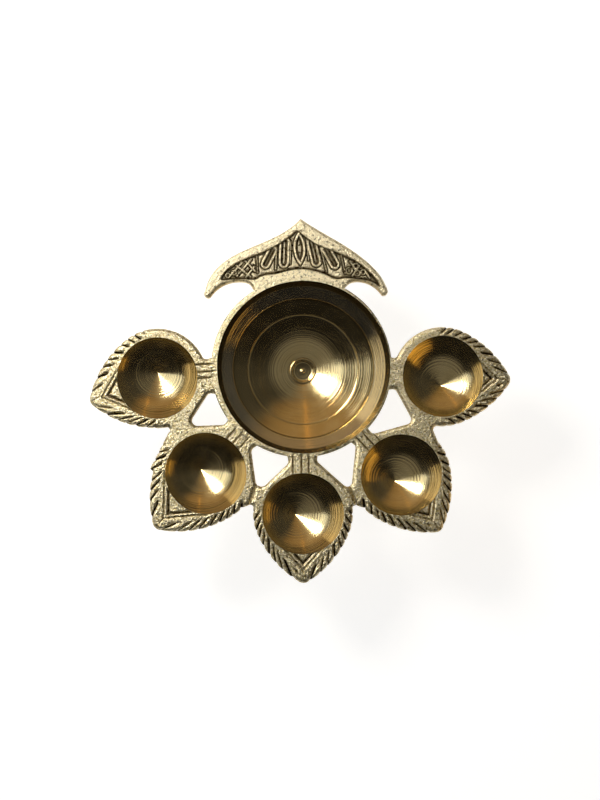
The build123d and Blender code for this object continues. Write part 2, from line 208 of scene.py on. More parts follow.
bead = np.linspace(np.pi / 2, -np.pi / 2, 9)[1:-1]
bead = np.stack([FOOT_NECK + FOOT_BEAD * np.cos(bead), FOOT_BEAD_HEIGHT + FOOT_BEAD * np.sin(bead)], 1)
foot_corners = np.vstack([
    [(BOLT_HOLE, FOOT_HEIGHT), (FOOT_FLANGE, FOOT_HEIGHT), (FOOT_FLANGE, FOOT_FLANGE_BOTTOM),
     (FOOT_NECK, FOOT_FLANGE_BOTTOM), (FOOT_NECK, FOOT_BEAD_HEIGHT + FOOT_BEAD)],
    bead,
    [(FOOT_NECK, FOOT_BEAD_HEIGHT - FOOT_BEAD), (FOOT_NECK, FOOT_SWEEP), (FOOT_LEDGE, FOOT_EDGE),
     (FOOT_BASE, FOOT_EDGE), (FOOT_BASE, 0), (FOOT_RING, 0), (NUT_ROOM, FOOT_HOLLOW),
     (NUT_ROOM, FOOT_CEILING), (BOLT_HOLE, FOOT_CEILING)],
])
foot_easing = [0.3, 0.5, 0.4, 0.4, 0.25] + [0.2] * len(bead)
foot_easing += [0.25, 7.0, 0.4, 0.7, 0.5, 0.5, 8.5, 0.5, 0.3]
profile, path = section(foot_corners, foot_easing, SPACING)
points = turn(profile, FOOT_COLUMNS, axis)
foot = skin("foot_turned", points, [turned_brass], marks={"turning": path * MM})
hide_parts("foot")

# Washer and nut: a turned brass washer and a plain hexagon nut, pulled up inside the foot.
# The nut is sawn from bar and turned at both ends, which leaves the curved bevels on its corners.

WASHER_RADIUS = 6.0
WASHER_TOP = 20.0
WASHER_BOTTOM = 19.0
WASHER_EDGE = 0.2
WASHER_COLUMNS = 128
NUT_BOTTOM = 14.0
NUT_FLAT = 5.0
NUT_FACE = 1.02 * NUT_FLAT
NUT_BORE = 3.05
NUT_COLUMNS = 240
NUT_BEVEL = np.tan(np.radians(30))

profile, path = section([(BOLT_HOLE, WASHER_TOP), (WASHER_RADIUS, WASHER_TOP), (WASHER_RADIUS, WASHER_BOTTOM),
                         (BOLT_HOLE, WASHER_BOTTOM)], WASHER_EDGE, WASHER_EDGE)
points = turn(profile, WASHER_COLUMNS, axis)
washer = skin("washer_turned", points, [turned_brass], marks={"turning": path * MM})
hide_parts("washer")

angle = np.linspace(0, 2 * np.pi, NUT_COLUMNS, endpoint=False)[:, None]
across_flats = NUT_FLAT / np.cos((angle + np.pi / 6) % (np.pi / 3) - np.pi / 6)
bevel = np.maximum(0, across_flats - NUT_FACE) * NUT_BEVEL
seat = np.minimum(across_flats, NUT_FACE)
bore, nut_top, nut_end = (np.full_like(angle, level) for level in (NUT_BORE, WASHER_BOTTOM, NUT_BOTTOM))
radius = np.hstack([bore, seat, across_flats, across_flats, seat, bore])
height = np.hstack([nut_top, nut_top, nut_top - bevel, nut_end + bevel, nut_end, nut_end])
points = np.stack([axis[0] + radius * MM * np.cos(angle), axis[1] + radius * MM * np.sin(angle),
                   height * MM], -1)
nut = skin("nut_hexagon", points, [turned_brass], marks={"turning": radius * MM})
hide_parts("nut")

# Centre bolt: a round-headed brass bolt that clamps the bowl to the foot. Its turned head fills the
# seat in the bowl's floor, with a dished ring round a small pip, and its thread shows past the nut.

BOLT_HEAD = 4.7
BOLT_HEAD_DEPTH = 1.6
# The head's face from its pip to its edge: radius, and drop below its top
BOLT_FACE = ((0, 0.3), (0.5, 0.36), (0.85, 0.66), (1.3, 0.7), (3.3, 0.62), (4.15, 0), (BOLT_HEAD, 0.05))
BOLT_RADIUS = 3.0
BOLT_BEVEL = 0.5
BOLT_PITCH = 1.0
BOLT_THREAD = 0.32
THREAD_HIDDEN = 0.2
SHANK_MATCH = 0.02
AXIS_MATCH = 0.06
BOLT_COLUMNS = 160
BOLT_SPACING = 0.1

low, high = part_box("centre_bolt")
head_top = high.z / MM
bolt_end = low.z / MM
bolt_corners = [(radius, head_top - drop) for radius, drop in BOLT_FACE]
bolt_corners += [(BOLT_HEAD, head_top - BOLT_HEAD_DEPTH), (BOLT_RADIUS, head_top - BOLT_HEAD_DEPTH),
                 (BOLT_RADIUS, bolt_end + BOLT_BEVEL), (BOLT_RADIUS - BOLT_BEVEL, bolt_end), (0, bolt_end)]
bolt_easing = [0, 0.2, 0.15, 0.2, 0.5, 0.12, 0.2, 0.2, 0.2, 0.2, 0.2, 0]
profile, path = section(bolt_corners, bolt_easing, BOLT_SPACING)
# The section is cut at the shank's end, so that no faces run back along the axis
low_row = np.argmin(np.where(profile[:, 0] < AXIS_MATCH, profile[:, 1], np.inf))
profile, path = profile[:low_row + 1], path[:low_row + 1]
profile[0, 0] = profile[-1, 0] = 0
points = turn(profile, BOLT_COLUMNS, axis)
angle = np.linspace(0, 1, BOLT_COLUMNS, endpoint=False)[:, None]
groove = 0.5 + 0.5 * np.cos(2 * np.pi * (profile[:, 1] / BOLT_PITCH - angle))
groove = groove * (np.abs(profile[:, 0] - BOLT_RADIUS) < SHANK_MATCH)
groove = groove * (profile[:, 1] < NUT_BOTTOM + THREAD_HIDDEN)
shrink = 1 - groove * BOLT_THREAD / BOLT_RADIUS
points[..., :2] = axis + (points[..., :2] - axis) * shrink[..., None]
bolt = skin("centre_bolt_turned", points, [turned_brass], marks={"turning": path * MM}, ring=False)
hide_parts("centre_bolt")

# Oil bowl: cast with its rim, then turned inside on the lathe, a little off the casting's centre, so the
# cast rim is wide on the left and almost gone on the right. A steep band lies under the edge, painted dark
# as painted shade, the shoulder below it is painted pale as a painted sheen, and the floor is dished round
# the bolt, with one fine groove.

BOWL_EDGE = 30.7
BOWL_RIM = 32.1
BOWL_BAND = (29.2, 2.95)
BOWL_FLOOR_EDGE = 25.1
BOWL_STEP = (6.2, 6.5)
BOWL_STEP_LEAN = 0.05
BOWL_FLOOR_RISE = np.tan(np.radians(33))
BOWL_GROOVE = 19.7
BOWL_GROOVE_CUT = (0.2, 0.08)
BOWL_DISH = (13.0, 4.35)
BOWL_SEAT = (4.85, 18.72)
BOWL_BOTTOM = 21.22
BOWL_SHELL = (31.1, 27.3, 9.27)
BOWL_BOSS = (12.5, 16.8)
PLATE = 4.0
RIM_ROUND = 0.55
RIM_UPRIGHT = 3.4
RIM_TOP = 1.0
JOINT_BLEND = 1.2
# Painted shade on the steep band and at the step, and a painted sheen on the shoulder, as shares of their
# colours
BAND_SHADE = 0.92
STEP_SHADE = 0.9
SHOULDER_SHEEN = 0.9
# Share of paler colour, a painted highlight, with a more matt cast skin at the back of the rim, and where
# across the plan it starts and is full
RIM_MATT_HIGHLIGHT = (0.5, 18.0, 30.0)
GROOVE_DARK = 0.6
RING_MATCH = 0.03
LEVEL_MATCH = 0.002
UPRIGHT = 0.01
BOWL_COLUMNS = 400
BRIDGE_GROOVE = (0.42, 0.55)
BRIDGE_START = 1.6
BRIDGE_END = 40
# Each leaf lamp's name, its angle round the bowl, and its bridge's grooves, across the bridge
BRIDGES = (("leaf_left", 184.54, (-3.7, -1.0, 1.2)), ("leaf_front_left", 228.22, (-2.7, 0.0, 2.9)),
           ("leaf_front", 270.6, (-3.4, -0.3, 2.2)), ("leaf_front_right", 312.68, (-2.6, 0.1, 2.7)),
           ("leaf_right", 356.26, ()))

low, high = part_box("oil_bowl")
top = high.z / MM
cast_centre = np.array((low + high) / 2)[:2]


def outline(name):
    """Plan outline of a cast node: the lower edges of its upright walls, as pairs of plan points in mm from
    the casting's centre."""
    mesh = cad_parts[name].data
    mesh.calc_loop_triangles()
    place = np.zeros(len(mesh.vertices) * 3, np.float32)
    mesh.vertices.foreach_get("co", place)
    corner = np.zeros(len(mesh.loop_triangles) * 3, np.int32)
    mesh.loop_triangles.foreach_get("vertices", corner)
    face = place.reshape(-1, 3).astype(float)[corner.reshape(-1, 3)] / MM
    normal = np.cross(face[:, 1] - face[:, 0], face[:, 2] - face[:, 0])
    upright = np.abs(normal[:, 2]) < UPRIGHT * np.linalg.norm(normal, axis=1)
    below = np.abs(face[:, :, 2] - (top - PLATE)) < LEVEL_MATCH
    wall = upright & (below.sum(1) == 2)
    return face[wall][below[wall]].reshape(-1, 2, 3)[:, :, :2] - cast_centre / MM


def on_ring(edges):
    """True for the edges that butt on the rim's circle."""
    return (np.abs(np.linalg.norm(edges, axis=2) - BOWL_RIM) < RING_MATCH).all(1)


def seam(edges):
    """True for the edges that butt on the rim's circle, or lie on a ray from its centre between leaves."""
    angle = np.unwrap(np.arctan2(edges[:, :, 1], edges[:, :, 0]), axis=1)
    return on_ring(edges) | (np.abs(angle[:, 1] - angle[:, 0]) < 1e-5)


def edge_distance(points, edges):
    """Distance in plan from each point to the nearest of some straight edges."""
    flat = points.reshape(-1, 2)
    nearest = np.full(len(flat), np.inf)
    for start, end in edges:
        run = end - start
        share = np.clip((flat - start) @ run / max(run @ run, 1e-12), 0, 1)
        nearest = np.minimum(nearest, np.linalg.norm(flat - start - share[:, None] * run, axis=1))
    return nearest.reshape(points.shape[:-1])


def ease(value, first, last):
    """Smooth step from 0 at first to 1 at last."""
    share = np.clip((value - first) / (last - first), 0, 1)
    return share * share * (3 - 2 * share)


def rounding(distance, width):
    """Drop of a rounded edge: an arc, 1.15 widths in radius, that starts level at its width from the edge
    and falls to 60 degrees."""
    inside = np.clip(width - distance, 0, width)
    arc = 1.15 * width
    return arc - np.sqrt(arc**2 - inside**2)


def bridge_grooves(points):
    """Depth of the chased lines on the bridges: grooves along the ray from the bowl to each leaf."""
    depth = np.zeros(points.shape[:-1])
    for _, angle, offsets in BRIDGES:
        ray = np.array([np.cos(np.radians(angle)), np.sin(np.radians(angle))])
        along = points @ ray
        across = points @ np.array([-ray[1], ray[0]])
        bridge = ease(along, BOWL_RIM - BRIDGE_START, BOWL_RIM) * (along < BRIDGE_END)
        for offset in offsets:
            line = np.clip(1 - np.abs(across - offset) / BRIDGE_GROOVE[0], 0, 1)
            depth += BRIDGE_GROOVE[1] * line * bridge
    return depth


# Sand-cast brass: pale, with a skin of fine grains from the mould that sparkles when rubbed over, and
# brown tarnish with painted shade in the low places. The grains are drawn at 0.7 mm, about twice the real
# sand. It is more matt where the casting's skin was left as it was, as on the crest, and painted paler
# there as a painted highlight.
SAND_GRAIN = 0.7 * MM
SAND_GRAIN_DEPTH = 0.34 * MM
SAND_PIT = 1.0 * MM
cast_brass = bpy.data.materials.new("sand_cast_brass")
cast_brass.use_nodes = True
tree = cast_brass.node_tree
shader = tree.nodes["Principled BSDF"]
where = add(tree, "ShaderNodeTexCoord").outputs["Object"]
grain = add(tree, "ShaderNodeTexNoise", {"Vector": where, "Scale": 1 / SAND_GRAIN, "Detail": 3.0,
                                         "Roughness": 0.6})
pits = add(tree, "ShaderNodeTexNoise", {"Vector": where, "Scale": 1 / SAND_PIT, "Detail": 4.0,
                                        "Roughness": 0.7})
pits = add(tree, "ShaderNodeMapRange", {"Value": pits.outputs["Fac"], "From Min": 0.53, "From Max": 0.66})
# Darkening from this share is tarnish with painted shade
painted_shade_and_tarnish = add(tree, "ShaderNodeAttribute", attribute_name="painted_shade_and_tarnish").outputs["Fac"]
dark = add(tree, "ShaderNodeMath", {0: pits.outputs[0], 1: 0.8, 2: painted_shade_and_tarnish}, operation="MULTIPLY_ADD",
           use_clamp=True)
rubbed = add(tree, "ShaderNodeMapRange", {"Value": grain.outputs["Fac"], "From Min": 0.36, "From Max": 0.6})
rubbed = add(tree, "ShaderNodeMix", {0: rubbed.outputs[0], 6: linear("#B9A46C"), 7: linear("#F3E8C8")},
             data_type="RGBA")
# Paler colour from this share is a painted highlight; its extra roughness is the matt cast skin
matt_and_highlight = add(tree, "ShaderNodeAttribute", attribute_name="matt_and_painted_highlight").outputs["Fac"]
rubbed = add(tree, "ShaderNodeMix", {0: matt_and_highlight, 6: rubbed.outputs[2], 7: linear("#FFF1CC")},
             data_type="RGBA")
colour = add(tree, "ShaderNodeMix", {0: dark.outputs[0], 6: rubbed.outputs[2], 7: linear("#3A2C14")},
             data_type="RGBA")
tree.links.new(colour.outputs[2], shader.inputs["Base Color"])
rough = add(tree, "ShaderNodeMapRange", {"Value": grain.outputs["Fac"], "From Min": 0.3, "From Max": 0.7,
                                         "To Min": 0.34, "To Max": 0.26})
rough = add(tree, "ShaderNodeMath", {0: matt_and_highlight, 1: 0.2, 2: rough.outputs[0]}, operation="MULTIPLY_ADD")
tree.links.new(rough.outputs[0], shader.inputs["Roughness"])
bump = add(tree, "ShaderNodeBump", {"Strength": 1.0, "Distance": SAND_GRAIN_DEPTH,
                                    "Height": grain.outputs["Fac"]})
tree.links.new(bump.outputs[0], shader.inputs["Normal"])
shader.inputs["Metallic"].default_value = 1.0

outlines = {name: outline(name) for name in [bridge[0] for bridge in BRIDGES] + ["crest"]}
joined = np.concatenate([edges[on_ring(edges)] for edges in outlines.values()])

head_depth = BOWL_SEAT[1] - BOLT_HEAD_DEPTH
groove_half, groove_cut = BOWL_GROOVE_CUT
groove_depth = BOWL_STEP[1] + (BOWL_FLOOR_EDGE - BOWL_GROOVE) * BOWL_FLOOR_RISE
inside = [(BOWL_EDGE, 0), BOWL_BAND, (BOWL_FLOOR_EDGE, BOWL_STEP[0]),
          (BOWL_FLOOR_EDGE - BOWL_STEP_LEAN, BOWL_STEP[1]),
          (BOWL_GROOVE + groove_half, groove_depth - groove_half * BOWL_FLOOR_RISE),
          (BOWL_GROOVE, groove_depth + groove_cut),
          (BOWL_GROOVE - groove_half, groove_depth + groove_half * BOWL_FLOOR_RISE),
          (BOWL_DISH[0], groove_depth + BOWL_DISH[1]), (BOWL_SEAT[0], head_depth), BOWL_SEAT,
          (BOLT_HOLE, BOWL_SEAT[1]), (BOLT_HOLE, BOWL_BOTTOM)]
outside = [(BOWL_BOSS[0], BOWL_BOTTOM), BOWL_BOSS, (BOWL_SHELL[1], BOWL_SHELL[2]),
           (BOWL_SHELL[0], PLATE), (BOWL_RIM, PLATE), (BOWL_RIM, 0)]
easing = [0.1, 0.25, 0.06, 0.1, 0.06, 0.06, 0.06, 3.5, 0.1, 0.2, 0.2, 0.3, 0.5, 1.0, 3.0, 0.1, 0.3, 0.1]
profile, path = section(inside + outside, easing, SPACING)
rim_row = np.argmin(np.linalg.norm(profile - (BOWL_RIM, 0), axis=1))
under_row = np.argmin(np.linalg.norm(profile - (BOWL_SHELL[0], PLATE), axis=1))
bottom_row = np.argmin(np.linalg.norm(profile - (BOLT_HOLE, BOWL_BOTTOM), axis=1))
turned_rows = np.arange(len(profile)) < bottom_row

# The turned rows and the shell stand round the lathe's axis, the rim's outer edge round the casting's centre
offset = ease(path, path[under_row], path[rim_row] - RIM_UPRIGHT)
across_rim = (profile[:, 0] - BOWL_EDGE) / (BOWL_RIM - BOWL_EDGE)
offset = np.clip(np.where(np.arange(len(profile)) > rim_row, across_rim, offset), 0, 1)
angle = np.linspace(0, 2 * np.pi, BOWL_COLUMNS, endpoint=False)[:, None]
runout = axis / MM - cast_centre / MM
direction = np.stack([np.cos(angle), np.sin(angle)], -1)
plan = profile[:, 0, None] * direction + runout * (1 - offset)[:, None]
upper = (path > path[rim_row] - RIM_TOP) & (profile[:, 1] < RIM_TOP) & ~turned_rows | (path == 0)
free = ease(edge_distance(direction * BOWL_RIM, joined), 0.0, JOINT_BLEND)
height = np.broadcast_to(-profile[:, 1], plan.shape[:2]).copy()
width = BOWL_RIM - np.linalg.norm(plan, axis=2)
drop = rounding(width, RIM_ROUND) * free + bridge_grooves(plan)
height = np.where(upper, height - drop, height)
# Painted shade: the steep band and the step are painted dark. On the cast rim the bridge grooves and the
# rounded outer edge are darkened by their drop, as tarnish and painted shade. The shoulder gets a painted
# sheen, and the back of the rim a painted highlight.
band = BAND_SHADE * ease(profile[:, 0], BOWL_BAND[0] - 0.15, BOWL_BAND[0] + 0.1)
step = np.abs(profile[:, 0] - BOWL_FLOOR_EDGE) + np.abs(profile[:, 1] - BOWL_STEP[1])
band = np.maximum(band, STEP_SHADE * ease(step, 0.3, 0.1)) * turned_rows
shade_and_tarnish = np.where(upper, np.clip(drop / GROOVE_DARK, 0, 1), band)
painted_sheen = SHOULDER_SHEEN * ease(profile[:, 0], BOWL_FLOOR_EDGE + 0.1, BOWL_FLOOR_EDGE + 0.5) * turned_rows
rim_matt_and_highlight = RIM_MATT_HIGHLIGHT[0] * ease(plan[..., 1], *RIM_MATT_HIGHLIGHT[1:])
points = np.concatenate([plan * MM + cast_centre, (height + top)[..., None] * MM], -1)
bowl = skin("oil_bowl_cast_and_turned", points, [cast_brass, turned_brass], rows=turned_rows.astype(int),
            marks={"turning": path * MM, "painted_shade_and_tarnish": shade_and_tarnish, "painted_sheen": painted_sheen, "matt_and_painted_highlight": rim_matt_and_highlight})
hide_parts("oil_bowl")

# Leaf lamps: five cast leaves brazed round the front of the bowl, each with a wick cup cut by a leaning
# cutter. The border is chased with slanting feather notches, and a chevron marks the tip.

CUP_RADIUS = 14.2
CUP_TILT = np.radians(6.5)
CUP_CONE_SLOPE = np.radians(26)
CUP_RIM_SLOPE = np.radians(45)
CUP_CONE = 7.0
CUP_WALL = 13.8
CUP_SHELL_EDGE = 15.2
CUP_SHELL_DROP = 6.82
CUP_ROWS = 54
LEAF_COLUMNS = 640
PLATE_ROWS = 46
SHELL_ROWS = 18
EDGE_ROUND = 1.5
LIP_ROUND = 0.22
UNDER_BEVEL = 0.35
NOTCH_PITCH = np.radians(10.4)
NOTCH_LENGTH = 3.3
NOTCH_HALF = 0.42
NOTCH_DEPTH = 0.95
NOTCH_NICK = 0.55
NOTCH_START = 0.35
NOTCH_STAGGER = 0.2
NOTCH_WANDER = 0.1
NOTCH_VARIETY = 0.2
NOTCH_V = 0.6
NOTCH_TIP = (0.06, 0.12)
NOTCH_END = np.radians(98)
NOTCH_FADE = 0.15
NOTCH_CLEAR = (3.0, 6.0)
NOTCH_DARK = (0.2, 0.55)
CUP_GUARD = (0.2, 0.9)
CHEVRON = np.radians(42)
CHEVRON_BACK = 5.0
CHEVRON_HALF = 0.4
CHEVRON_DEPTH = 0.42
CHEVRON_START = (9.0, 11.0)
CHEVRON_RIB = 1.55
RIB_HALF = 0.6
RIB_WEIGHT = 1.5
SPINE_HALF = 0.3
SPINE_DEPTH = 0.3
# Name, lean of the tip in degrees, reach of the tip from the cup's middle, slant of the notches each side
LEAVES = (("leaf_left", 15.0, 25.7, 28, 48), ("leaf_front_left", -1.0, 26.7, 40, 44),
          ("leaf_front", -0.1, 24.9, 52, 40), ("leaf_front_right", -8.0, 24.5, 44, 40),
          ("leaf_right", 1.0, 24.6, 42, 40))

# Section of the cup from its middle up past its edge: a cone whose slope steepens without a corner
fine = np.linspace(0, CUP_RADIUS + 4, 2401)
climb = np.tan(CUP_CONE_SLOPE + ease(fine, CUP_CONE, CUP_WALL) * (CUP_RIM_SLOPE - CUP_CONE_SLOPE))
cup_rise = np.concatenate([[0], np.cumsum((climb[1:] + climb[:-1]) / 2 * fine[1])])
cup_rise = cup_rise - np.interp(CUP_RADIUS, fine, cup_rise)

# The leaning cup meets the level plate where its height equals the lean's rise, found by repeated steps
turn_angle = np.linspace(0, 2 * np.pi, LEAF_COLUMNS, endpoint=False)[:, None]
lean_rise = np.sin(turn_angle) * np.tan(CUP_TILT)
cup_edge = np.full((LEAF_COLUMNS, 1), CUP_RADIUS)
for _ in range(8):
    cup_edge = np.interp(cup_edge * lean_rise, cup_rise, fine)
cup_radius = cup_edge * np.linspace(0, 1, CUP_ROWS)
cup_level = np.interp(cup_radius, fine, cup_rise)
cup_along = cup_radius * np.sin(turn_angle) * np.cos(CUP_TILT) + cup_level * np.sin(CUP_TILT)
cup_along = cup_along - (cup_along[:, -1].max() + cup_along[:, -1].min()) / 2
cup_local = np.stack([cup_radius * np.cos(turn_angle), cup_along], -1)
cup_height = cup_level * np.cos(CUP_TILT) - cup_radius * np.sin(turn_angle) * np.sin(CUP_TILT)
cup_path = np.cumsum(np.hypot(np.diff(cup_radius, axis=1, prepend=0),
                              np.diff(cup_level, axis=1, prepend=cup_rise[0])), axis=1)


def reach(centre, angle, edges):
    """Nearest and furthest distance from a centre, along each ray, to the edges of an outline."""
    ray = np.stack([np.cos(angle), np.sin(angle)], -1)[:, None]
    start = edges[None, :, 0] - centre
    run = edges[None, :, 1] - edges[None, :, 0]
    cross = ray[..., 0] * run[..., 1] - ray[..., 1] * run[..., 0]
    cross = np.where(np.abs(cross) < 1e-9, 1e-9, cross)
    length = (start[..., 0] * run[..., 1] - start[..., 1] * run[..., 0]) / cross
    share = (start[..., 0] * ray[..., 1] - start[..., 1] * ray[..., 0]) / cross
    hit = (share > -1e-4) & (share < 1 + 1e-4) & (length > 0)
    return np.where(hit, length, np.inf).min(1), np.where(hit, length, 0).max(1), hit.sum(1)


def notches(bearing, radius, distance, slants, number):
    """Feather notches along a leaf's border: slanting grooves, counted by the bearing from the tip, whose
    outer ends lie nearer the tip. The bars between are rounded: a narrow V and the square of the way
    towards it are added. Returns 0 along the middle of a bar and 1 along the middle of a notch."""
    slant = np.radians(np.where(bearing < 0, slants[0], slants[1]))
    count = (np.abs(bearing) - distance * np.tan(slant) / radius) / NOTCH_PITCH
    count = count + NOTCH_START + NOTCH_STAGGER * np.sign(bearing)
    count = count + NOTCH_WANDER * np.sin(1.7 * count + number)
    share = np.abs(count - np.round(count))
    line = np.clip(1 - share * NOTCH_PITCH * radius * np.cos(slant) / NOTCH_HALF, 0, 1)
    cut = NOTCH_V * line + (1 - NOTCH_V) * (1 - 2 * share) ** 2
    border = ease(np.abs(bearing), *NOTCH_TIP)
    border = border * (1 - ease(np.abs(bearing), NOTCH_END - NOTCH_FADE, NOTCH_END))
    return cut * border * (1 - NOTCH_VARIETY + NOTCH_VARIETY * np.sin(4.1 * np.round(count) + 2 * number))


for number, (name, lean, tip, *slants) in enumerate(LEAVES):
    edges = outlines[name]
    open_edges = edges[~seam(edges)]
    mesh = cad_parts[name].data
    place = np.zeros(len(mesh.vertices) * 3, np.float32)
    mesh.vertices.foreach_get("co", place)
    place = place.reshape(-1, 3).astype(float) / MM
    deepest = place[place[:, 2] < place[:, 2].min() + 0.5][:, :2]
    centre = (deepest.min(0) + deepest.max(0)) / 2 - cast_centre / MM
    out = np.arctan2(centre[1], centre[0])

    # The cup, turned to face the bowl, and the plate from the cup's edge to the notched outline
    spin = np.array([[np.cos(out), np.sin(out)], [-np.sin(out), np.cos(out)]])
    cup_plan = cup_local @ spin + centre
    edge = cup_plan[:, -1]
    bearing = np.arctan2(edge[:, 1] - centre[1], edge[:, 0] - centre[0])
    ray = np.stack([np.cos(bearing), np.sin(bearing)], 1)
    limit = reach(centre, bearing, edges)[0]
    from_tip = (bearing - out - np.radians(lean) + np.pi) % (2 * np.pi) - np.pi
    rim_point = centre + limit[:, None] * ray
    loose = 1 - ease(edge_distance(rim_point, open_edges), 0.0, 0.3)
    clear = ease(edge_distance(rim_point, edges[seam(edges)]), *NOTCH_CLEAR) * loose
    limit = limit - NOTCH_NICK * notches(from_tip, limit, 0.0, slants, number) * clear
    rim_point = centre + limit[:, None] * ray
    share = 1 - (1 - np.linspace(0, 1, PLATE_ROWS)[1:]) ** 1.25
    plan = edge[:, None] + share[:, None] * (rim_point - edge)[:, None]
    distance = edge_distance(plan, open_edges)

    # Chased work on the plate: chevron and spine at the tip, feather notches round the border
    offset = plan - centre
    axis_way = out + np.radians(lean)
    along = offset @ np.array([np.cos(axis_way), np.sin(axis_way)])
    across = offset @ np.array([-np.sin(axis_way), np.cos(axis_way)])
    radius = np.linalg.norm(offset, axis=2)
    fold = along * np.sin(CHEVRON) + np.abs(across) * np.cos(CHEVRON)
    apex = (tip - CHEVRON_BACK) * np.sin(CHEVRON)
    ahead = ease(along, *CHEVRON_START)
    lines = np.clip(1 - np.abs(fold - apex) / CHEVRON_HALF, 0, 1)
    lines = lines + RIB_WEIGHT * np.clip(1 - np.abs(fold - apex + CHEVRON_RIB) / RIB_HALF, 0, 1)
    spine = np.clip(1 - np.abs(across) / SPINE_HALF, 0, 1) * ease(fold, apex, apex + 0.4)
    feather = notches(np.arctan2(across, along), radius, distance, slants, number) * clear[:, None]
    inset = np.linalg.norm(plan - edge[:, None], axis=2)
    feather = feather * (1 - ease(distance, NOTCH_LENGTH - 0.5, NOTCH_LENGTH)) * ease(inset, *CUP_GUARD)
    feather = feather * np.where(along > 10, ease(fold, apex + 0.1, apex + 0.5), 1)
    carving = NOTCH_DEPTH * feather + CHEVRON_DEPTH * lines * ahead + SPINE_DEPTH * spine * ahead
    carving = carving + bridge_grooves(plan)
    lip = rounding(inset, LIP_ROUND)
    plate_height = -rounding(distance, EDGE_ROUND) - carving - lip
    # Painted shade with tarnish: the plate darkens with the depth of its notches, chevron, spine and grooves
    painted_shade_and_tarnish = ease(carving, *NOTCH_DARK)

    # Upright edge, bevelled underside, and the round shell below the cup
    rim_height = plate_height[:, -1]
    side = np.stack([rim_height * 0.5 - PLATE * 0.5, np.full(LEAF_COLUMNS, -PLATE + UNDER_BEVEL)], 1)
    side_plan = np.repeat(rim_point[:, None], 2, 1)
    inward = (rim_point - centre) / limit[:, None]
    foot_line = rim_point - inward * UNDER_BEVEL * loose[:, None]
    shell_edge = centre + CUP_SHELL_EDGE * ray
    share = np.linspace(0, 1, 8)[:, None]
    under_plan = foot_line[:, None] * (1 - share) + shell_edge[:, None] * share
    ball = (CUP_SHELL_EDGE**2 + CUP_SHELL_DROP**2) / (2 * CUP_SHELL_DROP)
    swing = np.linspace(np.arcsin(CUP_SHELL_EDGE / ball), 0, SHELL_ROWS)[1:]
    shell_plan = centre + (ball * np.sin(swing))[None, :, None] * ray[:, None]
    shell_height = -PLATE - CUP_SHELL_DROP + ball * (1 - np.cos(swing))
    plan_rows = np.concatenate([cup_plan, plan, side_plan, under_plan, shell_plan], 1)
    heights = np.concatenate([cup_height, plate_height, side, np.full(under_plan.shape[:2], -PLATE),
                              np.broadcast_to(shell_height, (LEAF_COLUMNS, len(swing)))], 1)
    shade_and_tarnish = np.zeros(heights.shape)
    shade_and_tarnish[:, cup_plan.shape[1]:cup_plan.shape[1] + plan.shape[1]] = painted_shade_and_tarnish
    turning = np.zeros(heights.shape)
    turning[:, :cup_plan.shape[1]] = cup_path
    rows = (np.arange(heights.shape[1]) < cup_plan.shape[1] - 1).astype(int)
    points = np.concatenate([plan_rows * MM + cast_centre, (heights + top)[..., None] * MM], -1)
    points[:, 0] = points[:, 0].mean(0)
    points[:, -1] = points[:, -1].mean(0)
    leaf = skin(name + "_cast_and_turned", points, [cast_brass, turned_brass], rows=rows,
                marks={"turning": turning * MM, "painted_shade_and_tarnish": shade_and_tarnish}, ring=False)
    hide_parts(name)

# Crest: the crescent thumb grip, cast in relief and brazed to the back of the rim. A plain raised border
# runs round a sunk panel with a fan of lotus petals, and knot work fills the panel's two ends.

CREST_COLUMNS = 760
CREST_ROWS = 84
CREST_ROUND = 1.3
PANEL_DEPTH = 1.1
GROUND_DEPTH = 0.6
CURL_HALF = 0.32
CREST_UNDER_STEP = 12
# Share of paler colour, a painted highlight, with a more matt cast skin, over the whole crest
CREST_MATT_HIGHLIGHT = 0.8
CREST_WEAR = 0.06
CREST_DARK = (0.15, 0.8)
# Distances in mm over which a form begins: from a panel's edge, and from the outline of a petal or bar
PANEL_WALL = (-0.1, 0.45)
PANEL_MARGIN = (0.25, 0.6)
PANEL_DITCH = (1.2, 0.5)
FORM_DITCH = (0.55, 0.1)
PETAL_EDGE = (0.15, -0.2)
PETAL_HOLLOW = (-0.75, -1.0)
PETAL_VEIN = (-1.45, -1.75)
BAR_EDGE = (0.15, -0.25)
# Share of the panel's depth: how far a petal is hollowed, and how high its vein and a bar stand
HOLLOW_SHARE = 0.95
VEIN_SHARE = 0.6
BAR_SHARE = 0.75
# Middle petal, an almond: its middle across and up, half its length and width, and its lean
ALMOND = (-0.7, 10.3)
ALMOND_HALF = (6.1, 2.2)
ALMOND_LEAN = np.radians(3.3)
# Points across and up from the top of the bowl's rim, in mm
PANEL = np.array([
    (-1.6, 16.8), (-4.4, 14.7), (-8.5, 11.8), (-14.0, 9.05), (-20.8, 6.3), (-25.4, 3.7), (-27.9, 1.2),
    (-28.9, -0.6), (-28.0, -1.3), (-25.4, -1.05), (-21.3, -0.85), (-16.5, -1.0), (-14.8, -0.05), (-12.2, 0.7),
    (-8.5, 1.2), (-4.0, 2.4), (0.1, 2.8), (3.8, 2.3), (7.9, 1.1), (11.1, -0.4), (13.3, -0.8), (15.4, -0.4),
    (18.8, -0.6), (22.9, -1.15), (25.6, -2.0), (28.0, -3.5), (27.7, -2.0), (25.2, 1.2), (21.1, 4.9),
    (16.5, 7.6), (12.0, 9.4), (6.0, 11.7), (2.9, 13.5), (0.6, 15.3)])
# Side petals: foot across and up, top across and up, half width
PETALS = ((-6.3, 5.2, -6.0, 12.6, 1.95), (5.3, 5.5, 3.6, 12.4, 1.85), (-12.8, 4.7, -10.3, 9.6, 1.75),
          (11.9, 4.6, 8.8, 10.4, 1.8))
